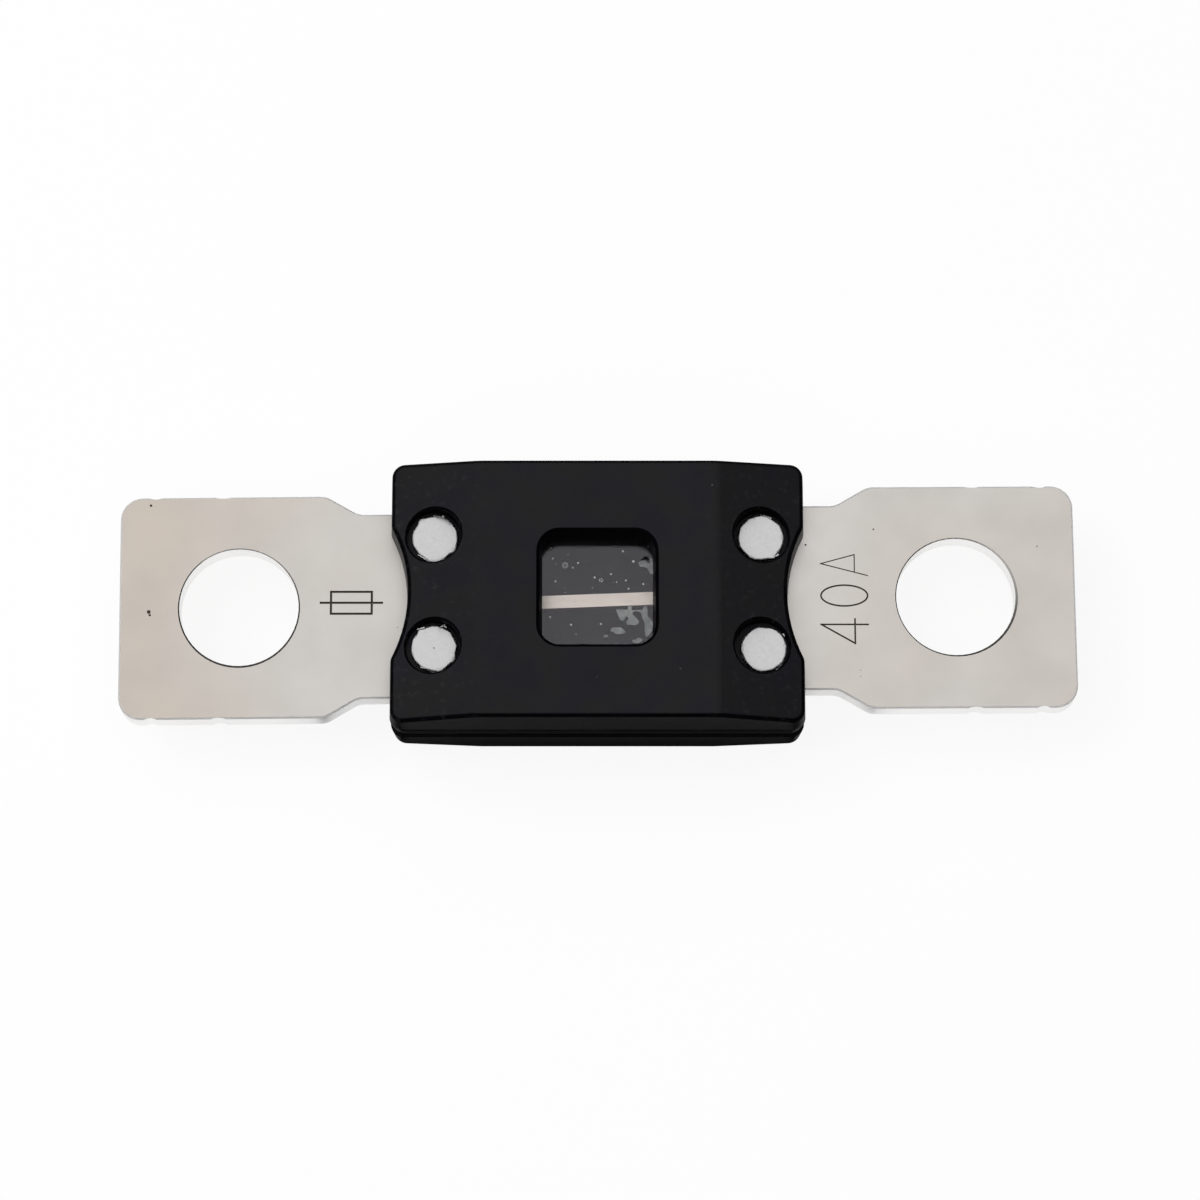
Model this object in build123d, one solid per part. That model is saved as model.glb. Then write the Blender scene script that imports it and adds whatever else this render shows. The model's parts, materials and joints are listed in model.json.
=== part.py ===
from build123d import *
import math
import os

# Bolt down strip fuse: two thick flat terminals joined by a narrow strip, held in a
# riveted two-part housing with a window over the strip.
# Millimetres. X runs along the fuse, Y across it, +Z out of the window.
# The origin is at the middle of the housing, halfway through the terminals.

# Terminals
hole_spacing = 51.0        # between the middles of the bolt holes
bolt_hole_d = 8.5          # clears an M8 stud
plate_t = 2.0              # sheet that the terminals are stamped from
blade_end_x = 34.0         # from the middle of the fuse to a blade's outer end
blade_w = 16.2
blade_corner_r = 1.6
neck_w = 13.45
neck_end_x = 17.0          # where the neck starts to widen into the blade
taper_l = 2.35             # length over which it widens
taper_r = 1.5              # rounding where the taper meets neck and blade
tongue_reach = 2.4         # from the rivets to the terminal's inner end
tongue_corner_r = 0.6
bolt_rim_break = 0.24      # rolled upper edge of a punched bolt hole
edge_break = 0.12          # broken upper edge of the stamped outline

# Each terminal has shifted on its rivets, one to the front and one to the rear
left_shift = -0.29
left_turn = 0.57           # degrees about Z
right_shift = 0.28
right_turn = 0.31

# Strip, pressed thinner than the terminals and drawn aslant by the shift
strip_w = 0.93
strip_t = 0.5
strip_drop = 0.2           # strip's top below the terminals' top
strip_mid_y = 0.09
strip_slant = 2.2          # degrees about Z
strip_root_r = 0.9

# Housing, seen from above, at the joint faces
body_l = 29.4
body_w = 19.0
body_corner_r = 1.05
notch_r = 10.15            # hollow in each end, between the rivets
notch_depth = 1.17
notch_lip_r = 0.9

# Housing, seen from the front
shell_h = 4.4              # height of each shell over its joint face
flat_half_l = 8.42         # half-length of the level middle
end_drop = 1.79            # how far each end slopes down from the level middle
fold_r = 2.0               # rounding of the bend between the two
draft = 3.25               # degrees, of all outer walls
rim_r = 0.4                # rounding of the upper shell's top edges
base_break = 0.25          # broken lower edges of the lower shell
joint_break = 0.08         # broken outer edges at the joint faces

# Rails of the lower shell, which close the front and rear beside the terminals
rail_inset = 0.2
neck_play = 0.62           # free space each side of a neck

# Window and pane
window_l = 8.2
window_w = 8.2
window_corner_r = 1.45
window_draft = 4.5         # degrees
window_depth = 2.3         # from the level middle of the top down to the pane
window_rim_break = 0.2
pane_l = 10.0
pane_w = 10.0
pane_t = 0.45
pane_corner_r = 1.0
pane_play = 0.1            # around the pane, filled with glue on the real fuse

# Chamber in the lower shell, under the strip
chamber_wall = 1.75        # between the chamber and the holes for the rivets
chamber_w = 11.4
chamber_depth = 2.4
chamber_corner_r = 1.6

# Rivets
rivet_end_gap = 3.15       # from the rivets' middles to the end of the housing
rivet_y = 4.0
shank_d = 2.5
shank_play = 0.05          # around the shank in the shells
terminal_hole_d = 3.7      # wide enough to let a terminal shift
upset_d = 3.3              # end that was hammered flat, on the window side
upset_h = 0.6
upset_break = 0.12
dimple_d = 0.4
dimple_depth = 0.1
head_d = 3.5               # factory head, on the underside
head_h = 0.65
head_break = 0.25
recess_d = 3.85            # round recess over either end of a rivet
recess_depth = 2.3         # below the level middle of either shell
recess_break = 0.15

half_t = plate_t / 2
blade_start_x = neck_end_x + taper_l
rivet_x = body_l / 2 - rivet_end_gap
tongue_end_x = rivet_x - tongue_reach
shank_hole_r = shank_d / 2 + shank_play
chamber_l = 2 * (rivet_x - shank_hole_r - chamber_wall)
seat_z = shell_h - recess_depth    # recess floor over the joint face
half_grip = half_t + seat_z        # from the middle of the terminals to a rivet's head
pane_top_z = shell_h - window_depth


def at_rivets(shape):
    """One copy of the shape at each rivet."""
    return [Pos(sx * rivet_x, sy * rivet_y) * shape for sx in (-1, 1) for sy in (-1, 1)]


def place_left(shape):
    """Puts a shape drawn as the right terminal where the left one lies."""
    pivot = Pos(-rivet_x, left_shift) * Rot(0, 0, left_turn) * Pos(rivet_x, 0)
    return pivot * Rot(0, 0, 180) * shape


def place_right(shape):
    """Puts a shape drawn about the X axis where the right terminal lies."""
    return Pos(rivet_x, right_shift) * Rot(0, 0, right_turn) * Pos(-rivet_x, 0) * shape


def terminal_outline():
    """The right terminal's outline about the X axis, without its holes."""
    neck = neck_w / 2
    blade = blade_w / 2
    half = [
        (tongue_end_x, -neck),
        (neck_end_x, -neck),
        (blade_start_x, -blade),
        (blade_end_x, -blade),
    ]
    corners = half + [(x, -y) for x, y in reversed(half)]
    face = make_face(Polyline(*corners, close=True))
    rounding = {
        blade_end_x: blade_corner_r,
        blade_start_x: taper_r,
        neck_end_x: taper_r,
        tongue_end_x: tongue_corner_r,
    }
    for x, radius in rounding.items():
        ends = [v for v in face.vertices() if abs(v.X - x) < 1e-3]
        face = fillet(ends, radius)
    return face


def terminal_plate():
    """The right terminal as a plate with its holes, its upper edges as the punch left them."""
    plate = Pos(0, 0, -half_t) * extrude(terminal_outline(), amount=plate_t)
    plate = chamfer(plate.faces().sort_by(Axis.Z)[-1].edges(), edge_break)
    for side in (-1, 1):
        plate -= Pos(rivet_x, side * rivet_y) * Cylinder(terminal_hole_d / 2, 2 * plate_t)
    plate -= Pos(hole_spacing / 2, 0) * Cylinder(bolt_hole_d / 2, 2 * plate_t)
    circles = [e for e in plate.edges() if e.geom_type == GeomType.CIRCLE
               and abs(e.radius - bolt_hole_d / 2) < 1e-3 and e.center().Z > 0]
    return chamfer(circles, bolt_rim_break)


def strip_outline():
    """The strip with rounded roots, and a short stretch of each terminal's inner end."""
    reach = tongue_end_x + tongue_corner_r
    bar = Pos(0, strip_mid_y) * Rot(0, 0, strip_slant) * Rectangle(2 * reach, strip_w)
    tongue = terminal_outline()
    joined = bar + place_left(tongue) + place_right(tongue)
    roots = [
        v for v in joined.vertices()
        if abs(abs(v.X) - tongue_end_x) < strip_root_r
        and abs(v.Y - strip_mid_y - v.X * math.tan(math.radians(strip_slant))) < strip_w
    ]
    joined = fillet(roots, strip_root_r)
    return joined & Rectangle(2 * reach, 2 * (strip_w + 2 * strip_root_r))


def make_fuse_element():
    """Both terminals and the strip, as the one stamping that they are."""
    plate = terminal_plate()
    strip_low = half_t - strip_drop - strip_t
    strip = Pos(0, 0, strip_low) * extrude(strip_outline(), amount=strip_t)
    return place_left(plate) + place_right(plate) + strip


def body_outline():
    """The housing from above at the joint faces, with the hollow in each end."""
    outline = fillet(Rectangle(body_l, body_w).vertices(), body_corner_r)
    for side in (-1, 1):
        middle_x = side * (body_l / 2 - notch_depth + notch_r)
        outline -= Pos(middle_x, 0) * Circle(notch_r)
    lips = [v for v in outline.vertices()
            if abs(v.Y) < body_w / 2 - body_corner_r - 0.01 and abs(abs(v.X) - body_l / 2) < 0.01]
    return fillet(lips, notch_lip_r)


def shell_block(finish_rim):
    """A shell's outer form over its joint face: drafted walls and sloping ends."""
    block = extrude(body_outline(), amount=shell_h, taper=draft)
    far = body_l
    slope = end_drop / (body_l / 2 - flat_half_l)
    far_z = shell_h - slope * (far - flat_half_l)
    side_view = make_face(Polyline(
        (-far, -body_l), (far, -body_l), (far, far_z), (flat_half_l, shell_h),
        (-flat_half_l, shell_h), (-far, far_z), close=True))
    folds = [v for v in side_view.vertices() if abs(v.Y - shell_h) < 1e-3]
    side_view = fillet(folds, fold_r)
    prism = extrude(Plane.XZ * side_view, amount=body_w, both=True)
    block = block & prism
    upward = [f for f in block.faces() if f.normal_at(f.center()).Z > 0.5]
    edges = [e for f in upward for e in f.edges()]
    rim = [e for e in edges if sum(e.is_same(other) for other in edges) == 1]
    block = finish_rim(rim)
    foot = block.faces().sort_by(Axis.Z)[0]
    return chamfer(foot.edges(), joint_break)


def on_recess_lip(edge):
    """Whether an edge is part of the upper end of a recess's wall."""
    for t in (0, 0.25, 0.5, 0.75, 1):
        p = edge @ t
        from_axis = math.hypot(abs(p.X) - rivet_x, abs(p.Y) - rivet_y)
        if p.Z < seat_z + 0.01 or abs(from_axis - recess_d / 2) > 0.01:
            return False
    return True


def drill_rivet_seats(shell):
    """Shank holes and round recesses, with a broken lip where a recess meets the slope."""
    for hole in at_rivets(Cylinder(shank_hole_r, 4 * shell_h)):
        shell -= hole
    recess = Pos(0, 0, seat_z + shell_h / 2) * Cylinder(recess_d / 2, shell_h)
    for cut in at_rivets(recess):
        shell -= cut
    lips = [e for e in shell.edges() if e.geom_type != GeomType.LINE and on_recess_lip(e)]
    return chamfer(lips, recess_break)


def make_upper_shell():
    """The shell with the window, the pane's pocket and the recesses over the hammered ends."""
    block = shell_block(lambda rim: fillet(rim, rim_r))
    shell = drill_rivet_seats(block)
    opening = fillet(Rectangle(window_l, window_w).vertices(), window_corner_r)
    window = Pos(0, 0, shell_h) * extrude(opening, amount=-2 * shell_h, taper=window_draft)
    shell -= window
    rim = [e for e in shell.edges()
           if abs(e.center().Z - shell_h) < 1e-3 and abs(e.center().X) < window_l / 2 + 0.01
           and abs(e.center().Y) < window_w / 2 + 0.01]
    shell = chamfer(rim, window_rim_break)
    pocket = fillet(
        Rectangle(pane_l + 2 * pane_play, pane_w + 2 * pane_play).vertices(),
        pane_corner_r + pane_play)
    shell -= extrude(pocket, amount=pane_top_z)
    return Pos(0, 0, half_t) * shell


def make_lower_shell():
    """The shell with the chamber, the side rails and the recesses over the factory heads."""
    block = shell_block(lambda rim: chamfer(rim, base_break))
    shell = Rot(180, 0, 0) * drill_rivet_seats(block)
    chamber = fillet(Rectangle(chamber_l, chamber_w).vertices(), chamber_corner_r)
    shell -= extrude(chamber, amount=-chamber_depth)
    rails = offset(body_outline(), amount=-rail_inset)
    rails -= Rectangle(2 * body_l, neck_w + 2 * neck_play)
    shell += extrude(rails, amount=plate_t)
    return Pos(0, 0, -half_t) * shell


def make_pane():
    """The clear pane, glued against the roof of its pocket, under the window."""
    plate = extrude(fillet(Rectangle(pane_l, pane_w).vertices(), pane_corner_r), amount=pane_t)
    return Pos(0, 0, half_t + pane_top_z - pane_t) * plate


def make_rivet():
    """A solid rivet on the Z axis: factory head below, hammered end above."""
    profile = make_face(Polyline(
        (0, -half_grip - head_h),
        (head_d / 2, -half_grip - head_h),
        (head_d / 2, -half_grip),
        (shank_d / 2, -half_grip),
        (shank_d / 2, half_grip),
        (upset_d / 2, half_grip),
        (upset_d / 2, half_grip + upset_h),
        (dimple_d / 2, half_grip + upset_h),
        (0, half_grip + upset_h - dimple_depth),
        close=True))
    low = [v for v in profile.vertices()
           if abs(v.Y + half_grip + head_h) < 1e-3 and v.X > shank_d / 2]
    profile = chamfer(low, head_break)
    high = [v for v in profile.vertices()
            if abs(v.Y - half_grip - upset_h) < 1e-3 and v.X > shank_d / 2]
    profile = chamfer(high, upset_break)
    return revolve(Plane.XZ * profile, Axis.Z)


def write_part(name, shape):
    """Writes one named piece to its own file."""
    solids = shape.solids()
    piece = solids[0] if len(solids) == 1 else Compound(children=list(solids))
    piece.label = name
    export_step(piece, f"parts/{name}.step")


os.makedirs("parts", exist_ok=True)

write_part("fuse_element", make_fuse_element())
write_part("upper_shell", make_upper_shell())
write_part("lower_shell", make_lower_shell())
write_part("window_pane", make_pane())

rivet = make_rivet()
for end, sx in (("left", -1), ("right", 1)):
    for side, sy in (("front", -1), ("rear", 1)):
        write_part(f"rivet_{side}_{end}", Pos(sx * rivet_x, sy * rivet_y) * rivet)
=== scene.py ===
import json
import math
import random
from functools import partial

import bmesh
import bpy
from mathutils import Matrix, Vector, noise


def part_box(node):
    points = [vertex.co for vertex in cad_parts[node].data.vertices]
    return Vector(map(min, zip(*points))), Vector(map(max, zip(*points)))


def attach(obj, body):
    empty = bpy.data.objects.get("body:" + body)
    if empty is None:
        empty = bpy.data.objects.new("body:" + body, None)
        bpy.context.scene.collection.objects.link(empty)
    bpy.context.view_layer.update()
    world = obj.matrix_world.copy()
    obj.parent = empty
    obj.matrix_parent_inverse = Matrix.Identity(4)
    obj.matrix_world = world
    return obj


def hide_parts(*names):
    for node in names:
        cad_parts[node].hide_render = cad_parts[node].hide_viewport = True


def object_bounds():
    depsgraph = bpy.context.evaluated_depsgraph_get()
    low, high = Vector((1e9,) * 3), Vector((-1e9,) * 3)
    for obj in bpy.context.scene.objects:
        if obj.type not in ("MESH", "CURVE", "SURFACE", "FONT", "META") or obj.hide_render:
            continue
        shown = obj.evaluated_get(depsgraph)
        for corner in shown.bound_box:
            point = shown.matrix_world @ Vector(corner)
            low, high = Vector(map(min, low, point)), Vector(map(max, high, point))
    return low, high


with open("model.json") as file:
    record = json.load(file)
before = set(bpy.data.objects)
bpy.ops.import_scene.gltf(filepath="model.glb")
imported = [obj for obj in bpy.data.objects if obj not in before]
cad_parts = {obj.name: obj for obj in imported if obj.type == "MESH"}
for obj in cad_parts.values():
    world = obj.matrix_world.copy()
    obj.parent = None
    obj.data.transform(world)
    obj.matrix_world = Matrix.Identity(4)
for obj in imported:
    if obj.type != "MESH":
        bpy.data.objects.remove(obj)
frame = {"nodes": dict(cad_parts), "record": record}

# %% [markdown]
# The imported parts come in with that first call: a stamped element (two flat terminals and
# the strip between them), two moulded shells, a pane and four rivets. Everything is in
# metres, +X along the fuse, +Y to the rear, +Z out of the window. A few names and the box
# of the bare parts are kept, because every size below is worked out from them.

mm = 0.001
cad_low, cad_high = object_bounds()
nodes = frame["nodes"]
bolt_holes = {m["name"]: m for m in frame["record"]["mounts"] if m["kind"] == "bore"}
hole_x, hole_y, _ = zip(*(hole["pos_m"] for hole in bolt_holes.values()))
hole_spacing = max(hole_x) - min(hole_x)
rivet_low, rivet_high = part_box("rivet_rear_right")
rivet_x, rivet_y = (rivet_low.x + rivet_high.x) / 2, (rivet_low.y + rivet_high.y) / 2
print("bolt holes apart, mm:", round(hole_spacing / mm, 2))
print("rivets off the middle, mm:", round(rivet_x / mm, 2), round(rivet_y / mm, 2))
print("bare parts, mm:", [round((b - a) / mm, 2) for a, b in zip(cad_low, cad_high)])

# %% [markdown]
# Colours are written as sRGB hex, the way a colour picker shows them, but a shader works in
# linear light, so one function turns them. One more fills a node's sockets, and one adds a
# node, sets and fills it and hands back an output. Sockets come in the node's own order, or
# by name or number: a colour Mix has its factor at 0, its colours at 6 and 7.

# %% Colour and node helpers
def linear(hex_code):
    """Linear RGBA of an sRGB hex colour."""
    channels = [int(hex_code[i:i + 2], 16) / 255 for i in (1, 3, 5)]
    return [c / 12.92 if c <= 0.04045 else ((c + 0.055) / 1.055) ** 2.4 for c in channels] + [1]


def fill(node, sockets):
    """Gives sockets a value, a hex colour, or a link where an output is given."""
    pairs = sockets.items() if isinstance(sockets, dict) else enumerate(sockets)
    for name, value in pairs:
        if isinstance(value, bpy.types.NodeSocket):
            node.id_data.links.new(value, node.inputs[name])
        else:
            plain = linear(value) if isinstance(value, str) else value
            node.inputs[name].default_value = plain


def add_node(tree, kind, sockets=(), take=0, **settings):
    """Adds a node and hands back one of its outputs, or all of them where take is None."""
    node = tree.nodes.new("ShaderNode" + kind)
    for name, value in settings.items():
        setattr(node, name, value)
    fill(node, sockets)
    return node.outputs if take is None else node.outputs[take]


print("white is", linear("#FFFFFF")[:3])

# %% [markdown]
# Every finish starts from the same few nodes: a Principled shader, the output and Object
# coordinates, which stay put on a piece wherever the camera goes. A noise is scaled from
# the real size of what it draws. How far a face leans tells a flat from a wall and from
# the rounded edge between them.

# %% What every finish starts from
colour = {"take": 2, "data_type": "RGBA"}    # makes a Mix one of colours


def new_material(name):
    """A material, the function that adds nodes to it, its shader and Object coordinates."""
    material = bpy.data.materials.new(name)
    material.use_nodes = True
    nodes_in = material.node_tree.nodes
    nodes_in.clear()
    shader = nodes_in.new("ShaderNodeBsdfPrincipled")
    add = partial(add_node, material.node_tree)
    add("OutputMaterial", {"Surface": shader.outputs["BSDF"]}, None)
    return material, add, shader, add("TexCoord", take="Object")


def per_metre(size_mm):
    """Scale of a pattern whose features are this size."""
    return 1 / (size_mm * mm)


def grain(place, size_mm, detail):
    """What a noise needs to draw features of a real size."""
    return {"Vector": place, "Scale": per_metre(size_mm), "Detail": detail}


def uprightness(add, kind="True Normal"):
    """The upright share of the normal: 1 on a level face, 0 on a wall."""
    up = add("SeparateXYZ", (add("NewGeometry", take=kind),), "Z")
    return add("Math", (up,), operation="ABSOLUTE")


print("a 0.12 mm grain has scale", round(per_metre(0.12)))

# %% [markdown]
# Tinned copper alloy. The terminals are stamped from strip and electroplated with bright tin, which
# soon dulls to a satin, slightly warm grey. The eye sees a very even lobe of light, and faint
# patches of warmer and cooler grey some ten millimetres across; the grey is also warmer towards the
# ends, most on the left. The side faces are tinned too, with fine upright streaks from the punch,
# and are painted almost white, a painted light. The rounded edges between were tumbled, so they are
# rough, and are painted pale as well, a painted light, all but the rims of the bolt holes, which the
# punch pressed smooth and which are painted darker, a painted shade. A painted map could hold all
# this, but noise and normals need no unwrapping. A metal's colour is its reflection, so the patches
# and the painted light and shade go into the base colour, tumbling into roughness and streaks into
# bump.

# %% Finish of the terminals: bright tin over stamped copper alloy, with painted light and shade
warm_from, warm_to = 15 * mm, 34 * mm    # off the fuse's middle: the tin turns warmer here
# Within this reach the pressed rims are painted darker, a painted shade; beyond it the tumbled edges
# are painted pale, a painted light.
rim_from, rim_to = 4.5 * mm, 4.6 * mm    # off a hole's middle: pressed up to here, then tumbled


def off_hole(add, axes):
    """How far a point of the stamping is from the middle of its bolt hole."""
    off_x = add("Math", (axes["X"],), operation="ABSOLUTE")
    off_x = add("Math", (off_x, hole_spacing / 2), operation="SUBTRACT")
    middle_y = add("MapRange", (axes["X"], -hole_spacing / 2, hole_spacing / 2, *hole_y))
    off_y = add("Math", (axes["Y"], middle_y), operation="SUBTRACT")
    spoke = add("CombineXYZ", (off_x, off_y))
    return add("VectorMath", (spoke,), "Value", operation="LENGTH")


def plated_tints(add, place, axes, cloud):
    """The warmer and cooler greys of the tin."""
    to_left = add("MapRange", (axes["X"], -warm_from, -warm_to))
    to_right = add("MapRange", (axes["X"], warm_from, warm_to, 0, 0.6))
    outward = add("Math", (to_left, to_right), operation="ADD")
    patches = add("MapRange", (add("TexNoise", grain(place, 14, 1)), 0.35, 0.65, -0.25, 0.25))
    warmth = add("MapRange", (add("Math", (outward, patches), operation="ADD"), 0, 1))
    tint = add("Mix", {0: warmth, 6: "#D5D2CE", 7: "#D0C6BC"}, **colour)
    clouded = add("MapRange", (cloud, 0, 1, 0, 0.3))
    return add("Mix", {0: clouded, 6: tint, 7: "#CCC7C1"}, **colour)


def tinned_stamping():
    material, add, shader, place = new_material("tinned_stamped_copper_alloy")
    axes = add("SeparateXYZ", (place,), None)
    cloud = add("MapRange", (add("TexNoise", grain(place, 3.5, 3)), 0.3, 0.7))
    upright = uprightness(add)
    leaning = add("MapRange", (upright, 0.93, 0.97, 1, 0))
    off_wall = add("MapRange", (upright, 0.1, 0.2))
    rounded = add("Math", (leaning, off_wall), operation="MULTIPLY")
    off_rim = add("MapRange", (off_hole(add, axes), rim_from, rim_to))
    tumbled_lit_edge = add("Math", (rounded, off_rim), operation="MULTIPLY")
    # The pressed rims are smooth, and are painted darker: painted shade.
    pressed_shaded_rim = add("Math", (rounded, tumbled_lit_edge), operation="SUBTRACT")
    side = add("MapRange", (upright, 0.2, 0.5, 1, 0))
    # The side faces and the tumbled edges are painted almost white: painted light.
    pale = add("Math", (side, tumbled_lit_edge), operation="MAXIMUM")
    tint = plated_tints(add, place, axes, cloud)
    tint = add("Mix", {0: pressed_shaded_rim, 6: tint, 7: "#B4B1AD"}, **colour)
    tint = add("Mix", {0: pale, 6: tint, 7: "#FAF9F8"}, **colour)
    satin = add("MapRange", (cloud, 0, 1, 0.33, 0.42))
    rough = add("Mix", {"Factor": tumbled_lit_edge, "A": satin, "B": 0.9})
    rough = add("Mix", {"Factor": pressed_shaded_rim, "A": rough, "B": 0.26})
    ripple = add("TexNoise", grain(place, 0.35, 2))
    drawn_out = add("Mapping", {"Vector": place, "Scale": (1, 1, 0.12)})
    streaks = add("TexNoise", grain(drawn_out, 0.16, 2))
    height = add("Mix", {"Factor": side, "A": ripple, "B": streaks})
    bump = add("Bump", {"Height": height, "Strength": 0.35, "Distance": 0.01 * mm})
    fill(shader, {"Base Color": tint, "Metallic": 1, "Roughness": rough, "Normal": bump})
    return material


tin = tinned_stamping()
print("made", tin.name)

# %% [markdown]
# The strip is the same sheet, rolled thinner between the terminals, so fine lines run along
# its top. Its edges were sheared after plating and show the bare copper alloy. The lines
# are a noise stretched along the fuse, and the bare edges are all faces that stand.

# %% Finish of the strip: rolled tin with bare edges
def rolled_strip():
    material, add, shader, place = new_material("tinned_rolled_strip")
    drawn_out = add("Mapping", {"Vector": place, "Scale": (0.06, 1, 1)})
    lines = add("TexNoise", grain(drawn_out, 0.09, 2))
    shade = add("MapRange", (lines, 0.35, 0.65))
    top = add("Mix", {0: shade, 6: "#CBBFB8", 7: "#D3C7C0"}, **colour)
    bare_edge = add("MapRange", (uprightness(add), 0.2, 0.6, 1, 0))
    tint = add("Mix", {0: bare_edge, 6: top, 7: "#8E5A45"}, **colour)
    rough = add("MapRange", (lines, 0.3, 0.7, 0.27, 0.35))
    bump = add("Bump", {"Height": lines, "Strength": 0.4, "Distance": 0.004 * mm})
    fill(shader, {"Base Color": tint, "Metallic": 1, "Roughness": rough, "Normal": bump})
    return material


strip_metal = rolled_strip()
print("made", strip_metal.name)

# %% [markdown]
# Glass-filled nylon. Both shells are moulded in black nylon with chopped glass in it. The
# mould is spark eroded, which leaves a fine even grain and a satin surface, and the black
# has a slight blue cast. Handling adds dust and pale scuffs, most of them round the rivets.
# The grain is too fine to see one by one, so it is drawn at 0.12 mm; scuffs come from a
# fine noise that grows towards the ends, and dust from cells of which only a few are kept.

# %% Colour of the shells: scuffed and dusty black
handled_from, handled_to = 7 * mm, 11 * mm    # off the fuse's middle: more scuffs from here


def worn_black(add, place, cloud, x):
    """Black with pale scuffs, more of them towards the ends, and a few grains of dust."""
    black = add("Mix", {0: cloud, 6: "#030304", 7: "#060609"}, **colour)
    handled = add("MapRange", (x, handled_from, handled_to, 0.01, 0.045))
    scuffs = add("MapRange", (add("TexNoise", grain(place, 0.45, 8)), 0.56, 0.72))
    scuffs = add("Math", (scuffs, handled), operation="MULTIPLY")
    cells = add("TexVoronoi", {"Vector": place, "Scale": per_metre(1.16)}, None)
    grains = add("MapRange", (cells["Distance"], 0.045, 0.07, 1, 0))
    kept = add("SeparateColor", (cells["Color"],), "Red")
    kept = add("MapRange", (kept, 0.88, 0.90, 0, 0.35))
    dust = add("Math", (grains, kept), operation="MULTIPLY")
    pale = add("Math", (dust, scuffs), operation="MAXIMUM")
    return add("Mix", {0: pale, 6: black, 7: "#6E6C6A"}, **colour)


print("scuffs grow from", handled_from / mm, "to", handled_to / mm, "mm off the middle")

# %% [markdown]
# The nylon's gloss is not the same everywhere. Rounded edges, and the walls at the corners, in the
# window and in the recesses, get far less of it: a painted shade. The rails, which are all that
# shows within 1 mm of the middle plane, get little gloss, least along two wavering seams: a painted
# shade of the seams. Separate materials would need borders that follow the faces, so the gloss is
# worked out from place and from lean instead.

# %% Gloss of the shells, with painted shade
corner_from, corner_to = 22.6 * mm, 23.3 * mm    # distances along and across, added up
window_reach = 4.4 * mm    # off the middle, just past the window's walls
recess_reach = 2.2 * mm    # off a rivet's middle, just past the recess
fade = 0.1 * mm
# The rail's low sheen is painted shade, darkest along both seams where the shells overhang it.
seam_shade_from, seam_shade_to = 0.45 * mm, 0.75 * mm    # off the middle plane: the grime ends here
rail_from, rail_to = 0.99 * mm, 1.01 * mm    # off the middle plane: the rail ends here


def shaded_places(add, x, y):
    """1 at the corners, in the window and in the recesses, where the walls get painted shade, else
    0.
    """
    far = add("Math", (x, y), operation="ADD")
    corner = add("MapRange", (far, corner_from, corner_to))
    square = add("Math", (x, y), operation="MAXIMUM")
    in_window = add("MapRange", (square, window_reach, window_reach + fade, 1, 0))
    off_x = add("Math", (x, rivet_x), operation="SUBTRACT")
    off_y = add("Math", (y, rivet_y), operation="SUBTRACT")
    spoke = add("CombineXYZ", (off_x, off_y))
    to_rivet = add("VectorMath", (spoke,), "Value", operation="LENGTH")
    in_recess = add("MapRange", (to_rivet, recess_reach, recess_reach + fade, 1, 0))
    inside = add("Math", (in_window, in_recess), operation="MAXIMUM")
    return add("Math", (corner, inside), operation="MAXIMUM")


def nylon_gloss(add, place, x, y, z):
    upright = uprightness(add, "Normal")
    # Rounded edges get far less sheen, a painted dark edge line: painted shade.
    leaning = add("MapRange", (upright, 0.85, 0.95, 1, 0))
    off_wall = add("MapRange", (upright, 0.12, 0.3))
    rounded = add("Math", (leaning, off_wall), operation="MULTIPLY")
    satin = add("MapRange", (rounded, 0, 1, 0.28, 0.015))
    # Walls at the corners, in the window and in the recesses lose most of their sheen: painted
    # shade.
    wall = add("MapRange", (upright, 0.12, 0.3, 1, 0))
    shaded_wall = add("Math", (wall, shaded_places(add, x, y)), operation="MULTIPLY")
    wall_shade = add("MapRange", (shaded_wall, 0, 1, 1, 0.04))
    sheen = add("Math", (satin, wall_shade), operation="MULTIPLY")
    # On the rail the sheen drops towards two wavering seams: painted shade.
    waver = add("MapRange", (add("TexNoise", grain(place, 1.6, 2)), 0.3, 0.7, -0.12 * mm, 0.12 * mm))
    height = add("Math", (z, waver), operation="ADD")
    seam_shade = add("MapRange", (height, seam_shade_from, seam_shade_to, 0.1, 0))
    on_rail = add("MapRange", (z, rail_from, rail_to, 1, 0))
    return add("Mix", {"Factor": on_rail, "A": sheen, "B": seam_shade})


def moulded_nylon():
    material, add, shader, place = new_material("moulded_glass_filled_nylon")
    axes = add("SeparateXYZ", (place,), None)
    x, y, z = (add("Math", (axes[name],), operation="ABSOLUTE") for name in "XYZ")
    cloud = add("MapRange", (add("TexNoise", grain(place, 4, 4)), 0.3, 0.7))
    cast = add("MapRange", (add("TexNoise", grain(place, 2.6, 3)), 0.35, 0.65))
    cast = add("Mix", {0: cast, 6: "#EDEBFF", 7: "#F6F4F1"}, **colour)
    spark = add("TexNoise", grain(place, 0.12, 2))
    bump = add("Bump", {"Height": spark, "Strength": 0.5, "Distance": 0.012 * mm})
    fill(shader, {
        "Base Color": worn_black(add, place, cloud, x), "IOR": 1.5,
        "Specular IOR Level": nylon_gloss(add, place, x, y, z), "Specular Tint": cast,
        "Roughness": add("MapRange", (cloud, 0, 1, 0.42, 0.52)), "Normal": bump})
    return material


nylon = moulded_nylon()
print("made", nylon.name)

# %% [markdown]
# Clear acrylic. The pane is a small flat sheet, so what shows is a grey veil of
# reflected light over the dark chamber, with the strip seen through it. A half see-through
# grey would be quicker, but real transmission with the plastic's own IOR gives both the
# veil and the view at every angle. The top carries the whole veil, because the glue film
# under the pane takes away the lower face's gloss, and a slight unevenness keeps the top
# from being a perfect mirror.

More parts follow.
